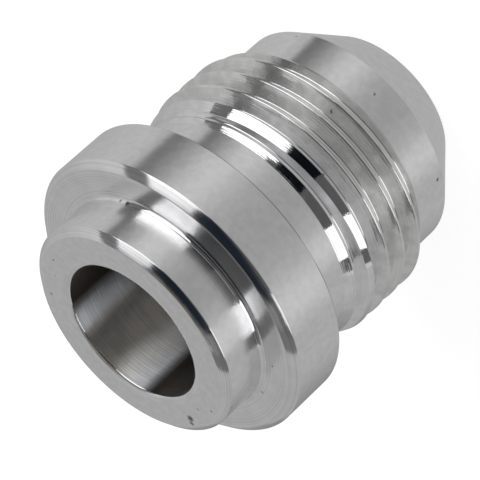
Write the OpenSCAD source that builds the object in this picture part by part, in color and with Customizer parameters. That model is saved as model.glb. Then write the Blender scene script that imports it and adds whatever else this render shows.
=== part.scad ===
// Weld-on bung: a turned tube fitting, one solid.
// It stands on its seat end, with the weld spigot up. Z is the bore's axis. Sizes are in millimetres.

/* [Weld spigot] */
// Outside diameter of the spigot that drops into the hole in the tank
spigot_d = 18.63; // [15:0.01:22]
// Length of the spigot above the collar's face
spigot_len = 3.97; // [2:0.01:8]
// Width of the bevel on the spigot's end, measured across the end face
spigot_bevel_w = 0.63; // [0.3:0.01:1]
// Height of the bevel on the spigot's end, measured along the axis
spigot_bevel_h = 0.5; // [0.3:0.01:1]

/* [Collar] */
// Outside diameter of the collar that is welded round its edge
collar_d = 24.84; // [24:0.01:32]
// Thickness of the collar
collar_len = 5.22; // [3:0.01:9]
// Width of the bevel on the collar's spigot side, measured across the face
collar_bevel_w = 0.63; // [0.3:0.01:1]
// Height of the bevel on the collar's spigot side, measured along the axis
collar_bevel_h = 0.56; // [0.3:0.01:1]
// Edge break on the collar's thread side
collar_back_break = 0.2; // [0.1:0.05:0.5]
// Radius that the tool's nose leaves in the corners on both sides of the collar
corner_r = 0.4; // [0.2:0.05:0.8]

/* [Neck] */
// Diameter of the relief between the collar and the thread
neck_d = 20.1; // [19.6:0.1:21]
// Length of the relief, up to the foot of the thread's bevel
neck_len = 3.42; // [2:0.01:7]

/* [Thread] */
// Major diameter of the thread, 7/8 inch
thread_d = 22.225; // [21.8:0.005:23.8]
// Pitch of the thread, 14 to the inch
thread_pitch = 1.8143; // [1.5:0.0001:2.2]
// Length of the full crest between the two bevels
thread_len = 5.4; // [5:0.1:12]
// Angle of the bevel on the collar side, measured from the axis
back_bevel_angle = 23; // [20:1:60]
// Angle of the bevel on the seat side, measured from the axis
front_bevel_angle = 45; // [30:1:60]
// Distance from the neck's edge to the groove where the tool leaves it
runout_offset = 0.18; // [0.1:0.01:0.6]
// Turns over which the tool is drawn out of the groove
runout_turns = 0.6; // [0.4:0.1:2]
// Angle round the axis at which the groove ends
runout_azimuth = 60; // [-180:5:180]

/* [Seat end] */
// Diameter of the plain nose between the thread and the seat
nose_d = 19.8; // [18.5:0.1:20.4]
// Length of the plain nose
nose_len = 3.2; // [1.5:0.1:6]
// Half angle of the sealing cone, measured from the axis
seat_angle = 37; // [30:0.5:45]
// Diameter of the cone's small end
seat_end_d = 13.15; // [12.8:0.05:15]

/* [Bore] */
// Diameter of the bore, which goes right through
bore_d = 12; // [8:0.1:12.2]
// Edge break at both mouths of the bore
bore_break = 0.2; // [0.1:0.05:0.25]

/* [Hidden] */
$fn = 96;

flank_angle = 30;            // half the angle of the thread vee
groove_steps = 48;           // stations of the groove in each turn
groove_clear = 0.1;          // how far the groove cutter stands out past the crest
cut = 0.1;                   // how far a cutter passes the face that it opens

// Heights of the profile's corners, from the seat's end up to the spigot's end
seat_top = (nose_d - seat_end_d) / 2 / tan(seat_angle);
nose_top = seat_top + nose_len;
crest_low = nose_top + (thread_d - nose_d) / 2 / tan(front_bevel_angle);
crest_high = crest_low + thread_len;
neck_low = crest_high + (thread_d - neck_d) / 2 / tan(back_bevel_angle);
collar_low = neck_low + neck_len;
collar_high = collar_low + collar_len;
top = collar_high + spigot_len;

// The vee groove: an eighth of the pitch is left as the crest, and the root is a narrow flat
groove_depth = 0.6134 * thread_pitch;
root_r = thread_d / 2 - groove_depth;
root_flat = thread_pitch * 7 / 8 - 2 * groove_depth * tan(flank_angle);
cutter_r = thread_d / 2 + groove_clear;
lift = groove_depth * 0.27;  // how far the tool is drawn out at the end of its run
groove_end = neck_low - runout_offset;
groove_turns = (groove_end - nose_top) / thread_pitch + 0.2;
groove_last = ceil(groove_turns * groove_steps);

// Outline of the solid, radius against height
module outline() {
    polygon([
        [0, 0],
        [seat_end_d / 2, 0],
        [nose_d / 2, seat_top],
        [nose_d / 2, nose_top],
        [thread_d / 2, crest_low],
        [thread_d / 2, crest_high],
        [neck_d / 2, neck_low],
        [neck_d / 2, collar_low],
        [collar_d / 2 - collar_back_break, collar_low],
        [collar_d / 2, collar_low + collar_back_break],
        [collar_d / 2, collar_high - collar_bevel_h],
        [collar_d / 2 - collar_bevel_w, collar_high],
        [spigot_d / 2, collar_high],
        [spigot_d / 2, top - spigot_bevel_h],
        [spigot_d / 2 - spigot_bevel_w, top],
        [0, top],
    ]);
    translate([spigot_d / 2, collar_high]) corner();
    translate([neck_d / 2, collar_low]) mirror([0, 1]) corner();
}

// Hollow corner left by the tool's round nose
module corner() {
    difference() {
        translate([-cut, -cut]) square(corner_r + cut);
        translate([corner_r, corner_r]) circle(corner_r);
    }
}

// Bore with its two broken edges
module bore() {
    translate([0, 0, -cut]) cylinder(h = top + 2 * cut, d = bore_d);
    bore_mouth();
    translate([0, 0, top]) mirror([0, 0, 1]) bore_mouth();
}

module bore_mouth() {
    rotate_extrude()
        polygon([
            [0, -cut],
            [bore_d / 2 + bore_break + cut, -cut],
            [bore_d / 2, bore_break],
            [0, bore_break],
        ]);
}

// One station of the groove: four corners of the vee, counted back from the collar end
function root_at(i) = root_r + lift * max(0, 1 - i / groove_steps / runout_turns);
function half_at(i) = root_flat / 2 + (cutter_r - root_at(i)) * tan(flank_angle);
function point_at(i, radius, rise) =
    let (turn = runout_azimuth - 360 * i / groove_steps)
    [radius * cos(turn), radius * sin(turn), groove_end - thread_pitch * i / groove_steps + rise];
function station(i) = [
    point_at(i, cutter_r, half_at(i)),
    point_at(i, cutter_r, -half_at(i)),
    point_at(i, root_at(i), -root_flat / 2),
    point_at(i, root_at(i), root_flat / 2),
];

// Right-handed vee groove, swept down the helix from its run-out to past the seat-side bevel
module groove() {
    points = [for (i = [0 : groove_last]) each station(i)];
    sides = [for (i = [0 : groove_last - 1], k = [0 : 3])
        let (a = 4 * i + k, b = 4 * i + (k + 1) % 4)
        each [[a, b, b + 4], [a, b + 4, a + 4]]];
    last = 4 * groove_last;
    ends = [[0, 2, 1], [0, 3, 2], [last, last + 1, last + 2], [last, last + 2, last + 3]];
    polyhedron(points = points, faces = concat(sides, ends));
}

module weld_bung() {
    color("silver")
        difference() {
            rotate_extrude() outline();
            bore();
            groove();
        }
}

weld_bung();
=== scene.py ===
import math

import bpy
from mathutils import Matrix, Vector


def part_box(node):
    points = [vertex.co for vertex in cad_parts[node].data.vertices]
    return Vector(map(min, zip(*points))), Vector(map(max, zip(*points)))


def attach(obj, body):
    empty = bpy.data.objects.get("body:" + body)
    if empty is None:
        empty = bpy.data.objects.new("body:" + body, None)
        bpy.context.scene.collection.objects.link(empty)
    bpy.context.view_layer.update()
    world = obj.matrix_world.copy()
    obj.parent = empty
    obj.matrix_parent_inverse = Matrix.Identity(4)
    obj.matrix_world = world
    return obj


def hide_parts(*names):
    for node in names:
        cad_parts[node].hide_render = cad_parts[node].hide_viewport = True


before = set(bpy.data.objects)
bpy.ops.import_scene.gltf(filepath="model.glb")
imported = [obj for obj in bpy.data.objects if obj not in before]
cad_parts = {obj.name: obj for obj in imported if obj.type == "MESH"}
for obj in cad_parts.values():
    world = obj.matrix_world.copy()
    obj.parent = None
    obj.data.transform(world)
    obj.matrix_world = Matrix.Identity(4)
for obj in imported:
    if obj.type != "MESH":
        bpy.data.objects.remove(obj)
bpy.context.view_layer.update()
mm = 0.001
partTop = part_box("weld_bung")[1].z
print("frame loaded")


def deselectAll():
    if bpy.context.object and bpy.context.object.mode == "EDIT":
        bpy.ops.object.mode_set(mode="OBJECT")
    bpy.ops.object.select_all(action="DESELECT")


def selectOnly(piece):
    deselectAll()
    piece.select_set(True)
    bpy.context.view_layer.objects.active = piece


def heading(azimuth, elevation):  # direction in degrees, azimuth turned from +Y towards +X
    a, e = math.radians(azimuth), math.radians(elevation)
    return Vector((math.sin(a) * math.cos(e), math.cos(a) * math.cos(e), math.sin(e)))


# Camera: a long lens 30 degrees above the table, rolled so that the part lies slantwise in the frame
cameraSet = {
    "lens": 261.6,
    "sensor": 36,
    "azimuth": -0.1,
    "elevation": -30.087,
    "roll": 132.5,
    "distance": 261.24 * mm,
    "aim": Vector((-0.393 * mm, 0, partTop - 12.206 * mm)),
    "clip": (0.01, 20),
}


def addCamera(s):
    look = heading(s["azimuth"], s["elevation"])
    level = heading(s["azimuth"] + 90, 0)
    rise = level.cross(look)
    roll = math.radians(s["roll"])
    up = rise * math.cos(roll) + level * math.sin(roll)
    turn = Matrix((look.cross(up), up, -look)).transposed()
    deselectAll()
    bpy.ops.object.camera_add(location=s["aim"] - look * s["distance"], rotation=turn.to_euler())
    cam = bpy.context.object
    cam.data.lens = s["lens"]
    cam.data.sensor_width = s["sensor"]
    cam.data.clip_start, cam.data.clip_end = s["clip"]
    bpy.context.scene.camera = cam


addCamera(cameraSet)
bpy.context.scene.view_settings.view_transform = "Standard"
print("camera set")


def hexColour(code):
    parts = [int(code[i:i + 2], 16) / 255 for i in (1, 3, 5)]
    linear = [c / 12.92 if c <= 0.04045 else ((c + 0.055) / 1.055) ** 2.4 for c in parts]
    return (*linear, 1.0)


def addNode(tree, kind, links=None, **settings):
    node = tree.nodes.new(kind)
    for name, value in settings.items():
        setattr(node, name, value)
    for socket, source in (links or {}).items():
        if isinstance(source, bpy.types.NodeSocket):
            tree.links.new(source, node.inputs[socket])
        else:
            node.inputs[socket].default_value = source
    return node


def fillRamp(ramp, stops):  # stops are places from 0 to 1 and colours, in order
    band = ramp.color_ramp.elements
    while len(band) < len(stops):
        band.new(1.0)
    for step, (position, colour) in zip(band, stops):
        step.position = position
        step.color = colour
    return ramp.outputs["Color"]


def emptyMaterial(name):
    material = bpy.data.materials.new(name)
    material.use_nodes = True
    material.node_tree.nodes.clear()
    return material, material.node_tree


# Studio: white world and floor, a pale tent behind the part, a dark drape round the camera.
# Bare metal shows nothing but its surroundings, so each has the place and tone that the bevels reflect.
studioSet = {
    "worldFill": 0.35,                     # light from the world, which the eye sees as plain white
    "floorSize": 4.0,
    "floorGlow": 0.72,
    "floorColour": "#D8D8D8",
    "floorCentre": (0, -5.5 * mm, 0),      # where the floor's mirrored tones turn round
    "floorCore": (9 * mm, 13 * mm, 0.5),   # even patch under the part: inner and outer radius, and tone
    # mirrored brightness by azimuth
    "floorTones": [
        (-90, 0.48), (-75, 0.495), (-60, 0.44), (-50, 0.375), (-40, 0.32), (-28, 0.27), (0, 0.36),
        (20, 0.44), (40, 0.47), (60, 0.53), (80, 0.57), (92.5, 0.51), (96.5, 0.17), (102, 0.19),
        (110, 0.29), (120, 0.45), (130, 0.61), (140, 0.64), (150, 0.55), (162, 0.45), (180, 0.4),
        (200, 0.41), (210, 0.45), (220, 0.5), (230, 0.61), (240, 0.67), (250, 0.6), (260, 0.49),
        (270, 0.48),
    ],
    "tentTones": [
        (-90, 0.5), (-80, 0.46), (-60, 0.44), (-20, 0.44), (0, 0.45), (30, 0.47), (45, 0.51),
        (55, 0.57), (65, 0.61), (75, 0.65), (90, 0.67),
    ],
    "drapeTones": [
        (86, 0.17), (100, 0.15), (110, 0.12), (150, 0.1), (180, 0.1), (235, 0.11), (255, 0.11),
        (270, 0.14),
    ],
    "tentRadius": 1.2,
    "drapeRadius": 1.2 * 1.1,
    # each cut: a point that the open edge passes, as a share of the radius, and the side that goes
    "tentCuts": [((0, -0.022, 0), (0.048, -1, 0.2)), ((0, -0.25, 0), (0, -1, 0.7))],
    "floorCut": ((0, 0, -0.01), (0, 0, -1)),
    "domeSegments": 96,
    "domeRings": 48,
}


def seenRays(tree):
    path = addNode(tree, "ShaderNodeLightPath")
    eye = addNode(tree, "ShaderNodeMath",
                  {0: path.outputs["Is Camera Ray"], 1: path.outputs["Is Glossy Ray"]}, operation="MAXIMUM")
    return addNode(tree, "ShaderNodeMath", {0: eye.outputs[0], 1: path.outputs["Is Transmission Ray"]},
                   operation="MAXIMUM").outputs[0]


def addWorld(s):
    world = bpy.data.worlds.new("studioWorld")
    bpy.context.scene.world = world
    world.use_nodes = True
    tree = world.node_tree
    tree.nodes.clear()
    strength = addNode(tree, "ShaderNodeMapRange",
                       {"Value": seenRays(tree), "To Min": s["worldFill"], "To Max": 1.0})
    sky = addNode(tree, "ShaderNodeBackground", {"Color": (1, 1, 1, 1), "Strength": strength.outputs[0]})
    addNode(tree, "ShaderNodeOutputWorld", {"Surface": sky.outputs[0]})


def toneRound(tree, tones, centre=(0, 0, 0)):  # brightness by azimuth round a centre, as heading() counts
    place = addNode(tree, "ShaderNodeTexCoord")
    arm = addNode(tree, "ShaderNodeVectorMath", {0: place.outputs["Object"], 1: centre},
                  operation="SUBTRACT")
    turn = addNode(tree, "ShaderNodeTexGradient", {"Vector": arm.outputs[0]}, gradient_type="RADIAL")
    ramp = addNode(tree, "ShaderNodeValToRGB", {"Fac": turn.outputs["Fac"]})
    return fillRamp(ramp, sorted(((270 - azimuth) / 360, (tone, tone, tone, 1)) for azimuth, tone in tones))


def paperFloor(s):  # matt white paper: no highlight, only the part's soft shadow
    material, tree = emptyMaterial("whitePaper")
    path = addNode(tree, "ShaderNodeLightPath")
    paper = addNode(tree, "ShaderNodeBsdfDiffuse", {"Color": hexColour(s["floorColour"])})
    glow = addNode(tree, "ShaderNodeEmission", {"Color": (1, 1, 1, 1), "Strength": s["floorGlow"]})
    both = addNode(tree, "ShaderNodeAddShader", {0: paper.outputs[0], 1: glow.outputs[0]})
    seen = addNode(tree, "ShaderNodeMixShader", {0: seenRays(tree), 1: paper.outputs[0], 2: both.outputs[0]})
    place = addNode(tree, "ShaderNodeTexCoord")
    reach = addNode(tree, "ShaderNodeVectorMath", {0: place.outputs["Object"]}, operation="LENGTH")
    inner, outer, core = s["floorCore"]
    share = addNode(tree, "ShaderNodeMapRange",
                    {"Value": reach.outputs["Value"], "From Min": inner, "From Max": outer},
                    interpolation_type="SMOOTHSTEP")
    rim = toneRound(tree, s["floorTones"], s["floorCentre"])
    tone = addNode(tree, "ShaderNodeMix", {"Factor": share.outputs[0], "A": (core, core, core, 1), "B": rim},
                   data_type="RGBA")
    mirrored = addNode(tree, "ShaderNodeEmission", {"Color": tone.outputs["Result"], "Strength": 1.0})
    mix = addNode(tree, "ShaderNodeMixShader",
                  {0: path.outputs["Is Glossy Ray"], 1: seen.outputs[0], 2: mirrored.outputs[0]})
    addNode(tree, "ShaderNodeOutputMaterial", {"Surface": mix.outputs[0]})
    return material


def addFloor(s):
    deselectAll()
    bpy.ops.mesh.primitive_plane_add(size=s["floorSize"])
    floor = bpy.context.object
    floor.name = "floor"
    floor.data.materials.append(paperFloor(s))


def domeMaterial(name, tones):  # cloth lit from outside: an even glow that changes slowly round the part
    material, tree = emptyMaterial(name)
    glow = addNode(tree, "ShaderNodeEmission", {"Color": toneRound(tree, tones), "Strength": 1.0})
    addNode(tree, "ShaderNodeOutputMaterial", {"Surface": glow.outputs[0]})
    return material


def cardMaterial(name, s):  # lit paper: one colour that fades from its foot to its head
    material, tree = emptyMaterial(name)
    place = addNode(tree, "ShaderNodeTexCoord")
    height = addNode(tree, "ShaderNodeSeparateXYZ", {0: place.outputs["Generated"]})
    strength = addNode(tree, "ShaderNodeMapRange",
                       {"Value": height.outputs["Z"], "To Min": s["foot"], "To Max": s["head"]})
    glow = addNode(tree, "ShaderNodeEmission",
                   {"Color": hexColour(s["colour"]), "Strength": strength.outputs[0]})
    addNode(tree, "ShaderNodeOutputMaterial", {"Surface": glow.outputs[0]})
    return material


def hideFromLens(card, lights):
    card.visible_camera = False
    card.visible_shadow = False
    card.visible_diffuse = lights


def addDome(name, radius, cuts, material, s):
    deselectAll()
    bpy.ops.mesh.primitive_uv_sphere_add(segments=s["domeSegments"], ring_count=s["domeRings"],
                                         radius=radius)
    dome = bpy.context.object
    dome.name = name
    bpy.ops.object.mode_set(mode="EDIT")
    for point, away in cuts + [s["floorCut"]]:
        bpy.ops.mesh.select_all(action="SELECT")
        bpy.ops.mesh.bisect(plane_co=Vector(point) * radius, plane_no=Vector(away).normalized(),
                            clear_outer=True)
    bpy.ops.object.mode_set(mode="OBJECT")
    dome.data.materials.append(material)
    hideFromLens(dome, False)


# Cards: soft boxes, their hoods, and black cards. Corners are the azimuths and elevations at which the
# part sees them, foot and head are strengths, and lights says whether the card also lights the floor.
cardSet = {
    "keyBox": {
        "distance": 1.0, "colour": "#FFFFFF", "foot": 2.25, "head": 0.62, "lights": True,
        "corners": [(104.5, 2), (103.5, 29), (92.5, 48.5), (82, 54), (90, 70), (120, 69), (130, 62),
                    (155, 30), (159, 14), (160, 2)],
    },
    "keyHood": {
        "distance": 1.0, "colour": "#F0F5FF", "foot": 0.48, "head": 0.42, "lights": False,
        "corners": [(68.5, 59.5), (82, 54), (90, 70), (84, 78), (72, 74)],
    },
    "fillBox": {
        "distance": 0.9, "colour": "#FFFFFF", "foot": 1.4, "head": 1.5, "lights": True,
        "corners": [(-136.5, -5), (-107, -5), (-103.5, 29), (-104, 40), (-128, 46), (-136, 29)],
    },
    "fillHood": {
        "distance": 0.9, "colour": "#FFFFFF", "foot": 0.25, "head": 0.25, "lights": False,
        "corners": [(-83, 52), (-92, 47), (-111, 55), (-101, 62)],
    },
    "sideHood": {
        "distance": 0.9, "colour": "#FFFDF8", "foot": 0.6, "head": 0.55, "lights": False,
        "corners": [(-69, 58), (-80, 58), (-84, 71), (-74, 73)],
    },
    "blackCard": {
        "distance": 1.1, "colour": "#161F29", "foot": 1.0, "head": 1.0, "lights": False,
        "corners": [(-113, 50), (160, 45), (134, 60), (122, 72), (150, 82), (-150, 82), (-106, 68)],
    },
    "lensShade": {
        "distance": 1.0, "colour": "#0E1014", "foot": 1.0, "head": 1.0, "lights": False,
        "corners": [(161, 4), (-171.5, 4), (-171.5, 24), (161, 24)],
    },
    "roof": {
        "distance": 1.15, "colour": "#FFF1DF", "foot": 0.25, "head": 0.25, "lights": False,
        "corners": [(azimuth, 76) for azimuth in range(0, 360, 30)],
    },
}


def addCard(name, s):  # flat, and square to the middle of its corners
    rays = [heading(azimuth, elevation) for azimuth, elevation in s["corners"]]
    out = sum(rays, Vector()).normalized()
    deselectAll()
    bpy.ops.mesh.primitive_circle_add(vertices=len(rays), fill_type="NGON")
    card = bpy.context.object
    card.name = name
    middle = Vector((0, 0, partTop / 2))
    for vertex, ray in zip(card.data.vertices, rays):
        vertex.co = middle + ray * s["distance"] / ray.dot(out)
    card.data.update()
    card.data.materials.append(cardMaterial(name + "Glow", s))
    hideFromLens(card, s["lights"])


addWorld(studioSet)
addFloor(studioSet)
addDome("tent", studioSet["tentRadius"], studioSet["tentCuts"],
        domeMaterial("tentWhite", studioSet["tentTones"]), studioSet)
addDome("drape", studioSet["drapeRadius"], [], domeMaterial("drapeGrey", studioSet["drapeTones"]), studioSet)
for name, card in cardSet.items():
    addCard(name, card)
print("studio set")

# Weld-on bung, sizes in millimetres, turned about the Z axis and standing on its seat end
bungSet = {
    "segments": 384,
    "boreRadius": 6.0,
    "boreBreak": 0.2,
    "mouthSpread": 0.05,       # how much wider the upper mouth is than the lower one
    "mouthBreak": 0.31,        # its rounded edge, measured along each face
    "mouthSegments": 5,
    "seatEndRadius": 6.575,
    "seatAngle": 37,
    "noseRadius": 9.9,
    "noseLength": 3.2,
    "neckRadius": 10.05,
    "neckLength": 3.42,
    "collarRadius": 12.42,
    "collarLength": 5.22,
    "collarBevel": (0.63, 0.56),
    "collarBackBreak": 0.2,
    "spigotRadius": 9.315,
    "spigotLength": 3.97,
    "spigotBevel": (0.63, 0.5),
    "cornerRadius": 0.4,       # left by the tool's nose on both sides of the collar
    "cornerSegments": 8,
    "edgeBreak": 0.04,
    "edgeSegments": 2,
    "threadRadius": 11.1125,
    "threadPitch": 1.8143,
    "threadLength": 5.4,
    "frontBevelAngle": 45,
    "backBevelAngle": 23,
    "flankAngle": 30,
    "grooveDepth": 0.6134,     # of the pitch
    "grooveSteps": 144,        # to a turn
    "grooveClear": 0.1,        # how far the cutter stands out past the crest
    "grooveLip": 0.012,        # step outside the crest that keeps neighbouring turns of the cutter apart
    "grooveOverrun": 0.2,      # turns past the nose
    "rootCorner": 0.06,
    "crestCorner": 0.06,
    "threadSegments": 3,
    "runoutOffset": 0.18,
    "runoutTurns": 0.6,
    "runoutAzimuth": 60,
    "runoutLift": 0.3,
    "wireGap": 0.001,          # ends of a drawn outline that are nearer are one point
    "samePlace": 0.0001,
    "weldDistance": 0.002,
    "smoothAngle": 32,
}


def profileHeights(s):
    seatTop = (s["noseRadius"] - s["seatEndRadius"]) / math.tan(math.radians(s["seatAngle"]))
    noseTop = seatTop + s["noseLength"]
    frontFall = (s["threadRadius"] - s["noseRadius"]) / math.tan(math.radians(s["frontBevelAngle"]))
    backFall = (s["threadRadius"] - s["neckRadius"]) / math.tan(math.radians(s["backBevelAngle"]))
    crestLow = noseTop + frontFall
    crestHigh = crestLow + s["threadLength"]
    neckLow = crestHigh + backFall
    collarLow = neckLow + s["neckLength"]
    return {"seatTop": seatTop, "noseTop": noseTop, "crestLow": crestLow, "crestHigh": crestHigh,
            "neckLow": neckLow, "collarLow": collarLow, "collarHigh": collarLow + s["collarLength"],
            "top": partTop / mm}


def startWire(point):
    deselectAll()
    bpy.ops.mesh.primitive_plane_add(size=1)
    bpy.ops.object.mode_set(mode="EDIT")
    bpy.ops.mesh.select_all(action="SELECT")
    bpy.ops.mesh.merge(type="CENTER")
    bpy.ops.transform.translate(value=(point[0], 0, point[1]))


def drawWire(points, s):  # closed outline, radius against height
    startWire(points[0])
    for here, there in zip(points, points[1:] + points[:1]):
        step = (there[0] - here[0], 0, there[1] - here[1])
        bpy.ops.mesh.extrude_vertices_move(TRANSFORM_OT_translate={"value": step})
    bpy.ops.mesh.select_all(action="SELECT")
    bpy.ops.mesh.remove_doubles(threshold=s["wireGap"])
    bpy.ops.object.mode_set(mode="OBJECT")
    return bpy.context.object


def selectVertices(piece, chosen):
    bpy.ops.object.mode_set(mode="EDIT")
    bpy.ops.mesh.select_all(action="DESELECT")
    bpy.ops.object.mode_set(mode="OBJECT")
    for vertex in piece.data.vertices:
        vertex.select = chosen(vertex)
    bpy.ops.object.mode_set(mode="EDIT")


def roundCorners(wire, points, offset, segments, s):
    def isCorner(vertex):
        return any(abs(vertex.co.x - r) + abs(vertex.co.z - z) < s["samePlace"] for r, z in points)
    selectVertices(wire, isCorner)
    bpy.ops.mesh.bevel(affect="VERTICES", offset=offset, segments=segments)
    bpy.ops.object.mode_set(mode="OBJECT")


def turnBody(s, h):
    collarIn, collarDown = s["collarBevel"]
    spigotIn, spigotDown = s["spigotBevel"]
    lowMouth = s["boreRadius"] + s["boreBreak"]
    mouth = (lowMouth + s["mouthSpread"], h["top"])
    hollows = [(s["neckRadius"], h["collarLow"]), (s["spigotRadius"], h["collarHigh"])]
    outline = [
        (lowMouth, 0),
        (s["seatEndRadius"], 0),
        (s["noseRadius"], h["seatTop"]),
        (s["noseRadius"], h["noseTop"]),
        (s["threadRadius"], h["crestLow"]),
        (s["threadRadius"], h["crestHigh"]),
        (s["neckRadius"], h["neckLow"]),
        hollows[0],
        (s["collarRadius"] - s["collarBackBreak"], h["collarLow"]),
        (s["collarRadius"], h["collarLow"] + s["collarBackBreak"]),
        (s["collarRadius"], h["collarHigh"] - collarDown),
        (s["collarRadius"] - collarIn, h["collarHigh"]),
        hollows[1],
        (s["spigotRadius"], h["top"] - spigotDown),
        (s["spigotRadius"] - spigotIn, h["top"]),
        mouth,
        (s["boreRadius"], h["top"] - s["boreBreak"]),
        (s["boreRadius"], s["boreBreak"]),
    ]
    edges = [point for point in outline if point not in hollows + [mouth]]
    body = drawWire(outline, s)
    roundCorners(body, edges, s["edgeBreak"], s["edgeSegments"], s)
    roundCorners(body, [mouth], s["mouthBreak"], s["mouthSegments"], s)
    roundCorners(body, hollows, s["cornerRadius"], s["cornerSegments"], s)
    bpy.ops.object.mode_set(mode="EDIT")
    bpy.ops.mesh.select_all(action="SELECT")
    bpy.ops.mesh.spin(steps=s["segments"], angle=2 * math.pi, center=(0, 0, 0), axis=(0, 0, 1))
    bpy.ops.mesh.select_all(action="SELECT")
    bpy.ops.mesh.remove_doubles(threshold=s["samePlace"])
    bpy.ops.mesh.normals_make_consistent(inside=False)
    bpy.ops.object.mode_set(mode="OBJECT")
    body.name = "weldBung"
    return body


def threadCutter(s, h):  # vee groove, swept down the helix from its run-out to past the nose
    pitch, crest = s["threadPitch"], s["threadRadius"]
    depth = s["grooveDepth"] * pitch
    crestHalf = pitch * 7 / 16  # an eighth of the pitch stays as the crest
    root = crest - depth
    rootHalf = crestHalf - depth * math.tan(math.radians(s["flankAngle"]))
    lip = pitch / 2 - s["grooveLip"]
    start = h["neckLow"] - s["runoutOffset"]
    half = [(crest + s["grooveClear"], lip), (crest + s["grooveLip"], lip), (crest, crestHalf),
            (root, rootHalf)]
    whole = half + [(r, -z) for r, z in reversed(half)]
    whole = [(r, start + z) for r, z in whole]
    vee = drawWire(whole, s)
    roundCorners(vee, whole[3:5], s["rootCorner"], s["threadSegments"], s)
    roundCorners(vee, [whole[2], whole[5]], s["crestCorner"], s["threadSegments"], s)
    ring = len(vee.data.vertices)
    steps = round(((start - h["noseTop"]) / pitch + s["grooveOverrun"]) * s["grooveSteps"])
    selectOnly(vee)
    bpy.ops.transform.rotate(value=math.radians(-s["runoutAzimuth"]), orient_axis="Z",
                             center_override=(0, 0, 0))
    bpy.ops.object.transform_apply(location=True, rotation=True, scale=True)
    helix = vee.modifiers.new("helix", "SCREW")
    helix.steps = helix.render_steps = steps
    helix.angle = -2 * math.pi * steps / s["grooveSteps"]
    helix.screw_offset = -pitch * steps / s["grooveSteps"]
    helix.use_merge_vertices = False
    helix.use_smooth_shade = False
    bpy.ops.object.modifier_apply(modifier=helix.name)
    drawOut(vee, ring, root, s)
    capEnds(vee, ring)
    vee.name = "veeGroove"
    return vee


def drawOut(vee, ring, root, s):  # the tool leaves the metal gradually at the neck
    rings = round(s["runoutTurns"] * s["grooveSteps"])
    for i in range(rings):
        grow = 1 + s["runoutLift"] * (1 - i / rings) / root
        selectVertices(vee, lambda v: v.index // ring == i)
        bpy.ops.transform.resize(value=(grow, grow, 1), center_override=(0, 0, 0))
        bpy.ops.object.mode_set(mode="OBJECT")


def capEnds(vee, ring):
    count = len(vee.data.vertices)
    for first in (0, count - ring):
        selectVertices(vee, lambda v: first <= v.index < first + ring)
        bpy.ops.mesh.edge_face_add()
        bpy.ops.object.mode_set(mode="OBJECT")
    bpy.ops.object.mode_set(mode="EDIT")
    bpy.ops.mesh.select_all(action="SELECT")
    bpy.ops.mesh.normals_make_consistent(inside=False)
    bpy.ops.object.mode_set(mode="OBJECT")


def cutWith(body, cutter):
    selectOnly(body)
    cut = body.modifiers.new("cut", "BOOLEAN")
    cut.operation = "DIFFERENCE"
    cut.solver = "EXACT"
    cut.object = cutter
    bpy.ops.object.modifier_apply(modifier=cut.name)
    bpy.data.objects.remove(cutter)
    print("cut leaves", len(body.data.polygons), "faces")


def finishMesh(piece, s):
    selectOnly(piece)
    bpy.ops.object.mode_set(mode="EDIT")
    bpy.ops.mesh.select_all(action="SELECT")
    bpy.ops.mesh.remove_doubles(threshold=s["weldDistance"])
    bpy.ops.mesh.dissolve_degenerate(threshold=s["weldDistance"])
    bpy.ops.mesh.normals_make_consistent(inside=False)
    bpy.ops.transform.resize(value=(mm, mm, mm), center_override=(0, 0, 0))
    bpy.ops.object.mode_set(mode="OBJECT")
    bpy.ops.object.shade_smooth_by_angle(angle=math.radians(s["smoothAngle"]))
    weigh = piece.modifiers.new("weigh", "WEIGHTED_NORMAL")
    weigh.keep_sharp = True
    weigh.thresh = 0  # a larger one takes faces this small as equal
    bpy.ops.object.modifier_apply(modifier=weigh.name)


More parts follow.
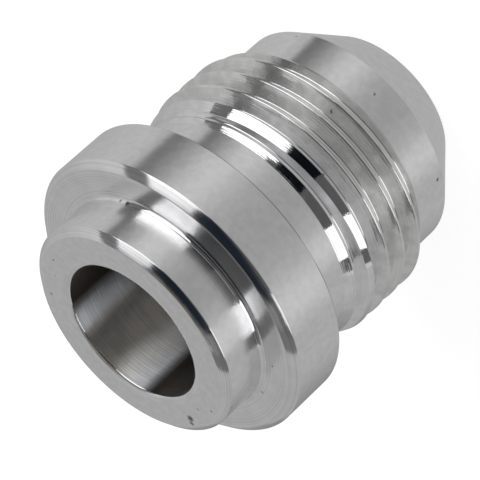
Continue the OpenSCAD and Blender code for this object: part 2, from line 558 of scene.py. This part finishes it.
# Bare aluminium as the lathe leaves it. The eye sees fine circular feed lines, and reflections that smear
# along the profile but keep crisp edges round the axis.
turnedSet = {
    # satin cut of the straight outsides: soft reflections with a faint clouding
    "turnedAluminium": {
        "colours": ["#E8E8E9"], "roughness": 0.2, "stretch": 0.84, "lineGap": 0.16 * mm,
        "lineHeight": 0.0022 * mm, "patchSize": 0.6 * mm, "patchDepth": 0.7, "cloud": 0.045, "grain": 0.3,
    },
    # faced shoulder and its bevels: nearly a mirror, with clear feed lines
    "facedAluminium": {
        "colours": ["#EAEAEB"], "roughness": 0.13, "stretch": 0.6, "lineGap": 0.09 * mm,
        "lineHeight": 0.0045 * mm, "patchSize": 1.6 * mm, "patchDepth": 0.15, "cloud": 0.12, "grain": 1.0,
    },
    # thread: brushed along the cut, so that its highlights break into streaks
    "threadedAluminium": {
        "colours": ["#E5E5E4"], "roughness": 0.16, "stretch": 0.75, "lineGap": 0.15 * mm,
        "lineHeight": 0.008 * mm, "patchSize": 1.3 * mm, "patchDepth": 0.9, "cloud": 0.09, "grain": 0.5,
    },
    # bevel behind the thread, hollow corner and bore mouth: burnished, a mirror with faint lines
    "burnishedAluminium": {
        "colours": ["#E9E9EA"], "roughness": 0.075, "stretch": 0.7, "lineGap": 0.1 * mm,
        "lineHeight": 0.0055 * mm, "patchSize": 1.2 * mm, "patchDepth": 0.7, "cloud": 0.06, "grain": 1.0,
    },
    # edge break at the collar's back: its darker colour is painted shade, the part's shadow on the table as
    # this edge reflects it
    "backBreakAluminiumPaintedShade": {
        "colours": ["#A6A6A8"], "roughness": 0.12, "stretch": 0.5, "lineGap": 0.12 * mm,
        "lineHeight": 0.004 * mm, "patchSize": 0.8 * mm, "patchDepth": 0.6, "cloud": 0.08, "grain": 0.0,
    },
    # reamed bore: rougher and a little warm, with painted shade at its two sides, where its dark colours
    # stand in for dark reflections
    "reamedAluminiumPaintedShade": {
        "colours": ["#544F4A", "#6A6560", "#EFF1F5", "#F2EEE8", "#F2EEE8", "#EFF1F5", "#E4E6EA", "#5A544E"],
        "places": [-5.9, -4.3, -3.5, -1.5, 1.9, 2.8, 3.9, 4.6],  # across the bore, in millimetres
        "roughness": 0.5, "stretch": 0.95, "lineGap": 0.2 * mm,
        "lineHeight": 0.03 * mm, "patchSize": 2.5 * mm, "patchDepth": 0.6, "cloud": 0.12, "grain": 1.0,
    },
}

# Small dark spots in the colour
markSet = {
    "wander": 0.3 * mm,        # how far a mark's outline strays
    "wanderSize": 0.25 * mm,
    "full": 0.6,               # shares of its reach where a mark is full, and where it ends
    "gone": 1.5,
    # place on the part and reach in millimetres, and depth of tone
    "spots": [
        ((7.75, 1.11, 29.34), 0.09, 0.6), ((6.92, 2.6, 29.34), 0.07, 0.5), ((6.14, 4.92, 29.34), 0.1, 0.6),
        ((-7.62, 2.0, 29.34), 0.25, 0.8), ((-7.95, 2.35, 29.34), 0.18, 0.7),
        ((-7.44, 0.22, 29.34), 0.08, 0.5), ((-8.2, -1.19, 29.34), 0.09, 0.5),
        ((-8.94, -2.61, 28.66), 0.12, 0.5), ((-9.75, -1.59, 25.37), 0.1, 0.5),
        ((-8.72, -5.35, 25.37), 0.09, 0.5), ((7.04, -6.17, 25.58), 0.16, 0.7),
        ((7.5, -5.6, 25.5), 0.12, 0.6), ((8.03, -5.79, 4.92), 0.09, 0.6), ((2.04, -10.24, 9.98), 0.12, 0.6),
        ((0.84, -9.86, 5.94), 0.1, 0.6), ((-7.04, -6.96, 5.01), 0.13, 0.8),
        ((-0.97, -9.94, 13.97), 0.1, 0.6),
    ],
}


def colourAndPaintedShade(tree, across, s):  # one colour, or several by the place across the bore, whose dark ends are painted shade
    if len(s["colours"]) == 1:
        return hexColour(s["colours"][0])[:3]
    reach = bungSet["boreRadius"]
    spread = addNode(tree, "ShaderNodeMapRange",
                     {"Value": across, "From Min": -reach * mm, "From Max": reach * mm})
    ramp = addNode(tree, "ShaderNodeValToRGB", {"Fac": spread.outputs[0]})
    return fillRamp(ramp, [((place + reach) / (2 * reach), hexColour(colour))
                           for place, colour in zip(s["places"], s["colours"])])


def markTone(tree, place, s):  # 1 away from the spots, less in a spot
    warp = addNode(tree, "ShaderNodeTexNoise",
                   {"Vector": place, "Scale": 1 / s["wanderSize"], "Detail": 2.0})
    shift = addNode(tree, "ShaderNodeVectorMath", {0: warp.outputs["Color"], 1: (0.5, 0.5, 0.5)},
                    operation="SUBTRACT")
    sway = addNode(tree, "ShaderNodeVectorMath", {0: shift.outputs[0], 3: s["wander"]}, operation="SCALE")
    spot = addNode(tree, "ShaderNodeVectorMath", {0: place, 1: sway.outputs[0]})
    tone = 1.0
    for centre, reach, depth in s["spots"]:
        gap = addNode(tree, "ShaderNodeVectorMath", {0: spot.outputs[0], 1: Vector(centre) * mm},
                      operation="DISTANCE")
        spotFree = addNode(tree, "ShaderNodeMapRange",
                        {"Value": gap.outputs["Value"], "From Min": reach * s["full"] * mm,
                         "From Max": reach * s["gone"] * mm, "To Min": 1 - depth})
        tone = addNode(tree, "ShaderNodeMath", {0: tone, 1: spotFree.outputs[0]},
                       operation="MINIMUM").outputs[0]
    return tone


def turnedMetal(name, s):
    material, tree = emptyMaterial(name)
    place = addNode(tree, "ShaderNodeTexCoord").outputs["Object"]
    axes = addNode(tree, "ShaderNodeSeparateXYZ", {0: place})
    flat = addNode(tree, "ShaderNodeVectorMath", {0: place, 1: (1, 1, 0)}, operation="MULTIPLY")
    radius = addNode(tree, "ShaderNodeVectorMath", {0: flat.outputs[0]}, operation="LENGTH")
    # feed lines, stronger in some patches than in others
    profile = addNode(tree, "ShaderNodeCombineXYZ", {"X": radius.outputs["Value"], "Y": axes.outputs["Z"]})
    lines = addNode(tree, "ShaderNodeTexNoise",
                    {"Vector": profile.outputs[0], "Scale": 1 / s["lineGap"], "Detail": 1.0},
                    noise_dimensions="2D")
    patches = addNode(tree, "ShaderNodeTexNoise",
                      {"Vector": place, "Scale": 1 / s["patchSize"], "Detail": 3.0})
    share = addNode(tree, "ShaderNodeMapRange",
                    {"Value": patches.outputs["Fac"], "From Min": 0.35, "From Max": 0.65,
                     "To Min": 1 - s["patchDepth"], "To Max": 1 + s["patchDepth"]})
    ridge = addNode(tree, "ShaderNodeMath", {0: lines.outputs["Fac"], 1: share.outputs[0]},
                    operation="MULTIPLY")
    relief = addNode(tree, "ShaderNodeBump",
                     {"Strength": 1.0, "Distance": s["lineHeight"], "Height": ridge.outputs[0]})
    # clouding, marks, and painted shade across the bore
    mottle = addNode(tree, "ShaderNodeMix", {0: s["grain"], 2: patches.outputs["Fac"], 3: ridge.outputs[0]})
    cloud = addNode(tree, "ShaderNodeMapRange",
                    {"Value": mottle.outputs[0], "From Min": 0.3, "From Max": 0.7,
                     "To Min": 1 - s["cloud"], "To Max": 1 + s["cloud"] / 2})
    shade = addNode(tree, "ShaderNodeMath", {0: cloud.outputs[0], 1: markTone(tree, place, markSet)},
                    operation="MULTIPLY")
    colour = addNode(tree, "ShaderNodeVectorMath",
                     {0: colourAndPaintedShade(tree, axes.outputs["X"], s), 3: shade.outputs[0]}, operation="SCALE")
    # the lines run round the axis, and reflections smear across them
    around = addNode(tree, "ShaderNodeVectorMath", {0: (0, 0, 1), 1: flat.outputs[0]},
                     operation="CROSS_PRODUCT")
    along = addNode(tree, "ShaderNodeVectorMath", {0: around.outputs[0]}, operation="NORMALIZE")
    metal = addNode(tree, "ShaderNodeBsdfPrincipled",
                    {"Base Color": colour.outputs[0], "Metallic": 1.0, "Roughness": s["roughness"],
                     "Anisotropic": s["stretch"], "Anisotropic Rotation": 0.25, "Tangent": along.outputs[0],
                     "Normal": relief.outputs[0]})
    addNode(tree, "ShaderNodeOutputMaterial", {"Surface": metal.outputs[0]})
    return material


# Where one cut gives way to the next, in millimetres from the profile's corners
cutSet = {
    "boreWall": 0.002,
    "cornerWall": 0.002,
    "crestEnd": 0.05,
    "edge": 0.02,
    "face": 0.01,
    "mouth": 0.01,
    "mouthDepth": 0.05,
    "collarBack": 1,           # outside the neck
}


def finishAt(radius, height, h, s, c):  # which cut a place on the profile has
    depth = h["top"] - height
    back = s["spigotLength"] + s["collarLength"] - depth   # above the collar's back
    face = s["spigotLength"] - depth                       # above the collar's face
    mouthRadius = s["boreRadius"] + s["boreBreak"] + s["mouthSpread"] + s["mouthBreak"]
    # bore wall, whose colour carries painted shade at its sides
    if radius < s["boreRadius"] + c["boreWall"]:
        return "reamedAluminiumPaintedShade"
    if h["noseTop"] < height < h["neckLow"]:
        return "burnishedAluminium" if height > h["crestHigh"] - c["crestEnd"] else "threadedAluminium"
    # edge break at the collar's back, darkened by painted shade
    if c["edge"] < back < s["collarBackBreak"] and radius > s["neckRadius"] + c["collarBack"]:
        return "backBreakAluminiumPaintedShade"
    inCorner = 0 < face < s["cornerRadius"] - c["edge"] and radius > s["spigotRadius"] + c["cornerWall"]
    onMouth = depth < s["boreBreak"] + c["mouthDepth"] and radius < mouthRadius - c["mouth"]
    if inCorner or onMouth:
        return "burnishedAluminium"
    onCollar = -s["collarBevel"][1] < face < c["face"] and radius > s["spigotRadius"] + s["cornerRadius"]
    onSpigot = depth < s["spigotBevel"][1] and radius > s["spigotRadius"] - s["spigotBevel"][0]
    return "facedAluminium" if onCollar or onSpigot else "turnedAluminium"


def paintFinishes(piece, h, s, c):
    names = list(turnedSet)
    for name in names:
        piece.data.materials.append(turnedMetal(name, turnedSet[name]))
    for face in piece.data.polygons:
        centre = face.center / mm
        radius = math.hypot(centre.x, centre.y)
        face.material_index = names.index(finishAt(radius, centre.z, h, s, c))


heights = profileHeights(bungSet)
bung = turnBody(bungSet, heights)
print("body turned")
cutWith(bung, threadCutter(bungSet, heights))
print("thread cut")
finishMesh(bung, bungSet)
paintFinishes(bung, heights, bungSet, cutSet)
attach(bung, "root")
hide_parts("weld_bung")
print("bung finished:", len(bung.data.polygons), "faces")
